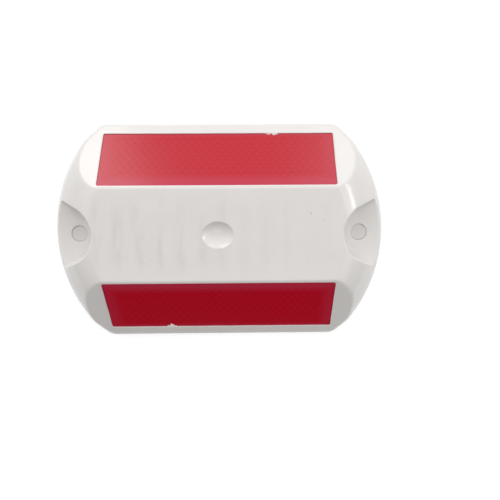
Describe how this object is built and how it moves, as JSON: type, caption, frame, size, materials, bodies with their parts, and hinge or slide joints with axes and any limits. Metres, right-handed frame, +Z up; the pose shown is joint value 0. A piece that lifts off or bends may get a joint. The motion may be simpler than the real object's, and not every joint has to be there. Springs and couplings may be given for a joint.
{
  "type": "raised pavement marker",
  "caption": "Low white road marker with a flat top, bowed ends with finger grips, and a red prism lens let into each sloping long side.",
  "frame": {"origin": "centre of the underside, on the road surface", "axes": "+X along the marker's length, across the lane; +Y along the road, towards the rear lens; +Z up"},
  "size_m": [0.12, 0.0788, 0.0175],
  "materials": {
    "white_shell": "glossy moulded ABS",
    "white_base": "matt moulded ABS",
    "red_lens": "clear red acrylic with a moulded prism back",
    "white_tray": "matt moulded ABS",
    "white_plug": "glossy moulded ABS"
  },
  "bodies": {
    "root": {"shell": "white_shell", "base_plate": "white_base", "rear_lens": "red_lens", "front_lens": "red_lens", "rear_lens_tray": "white_tray", "front_lens_tray": "white_tray", "left_screw_plug": "white_plug", "right_screw_plug": "white_plug"}
  },
  "joints": []
}
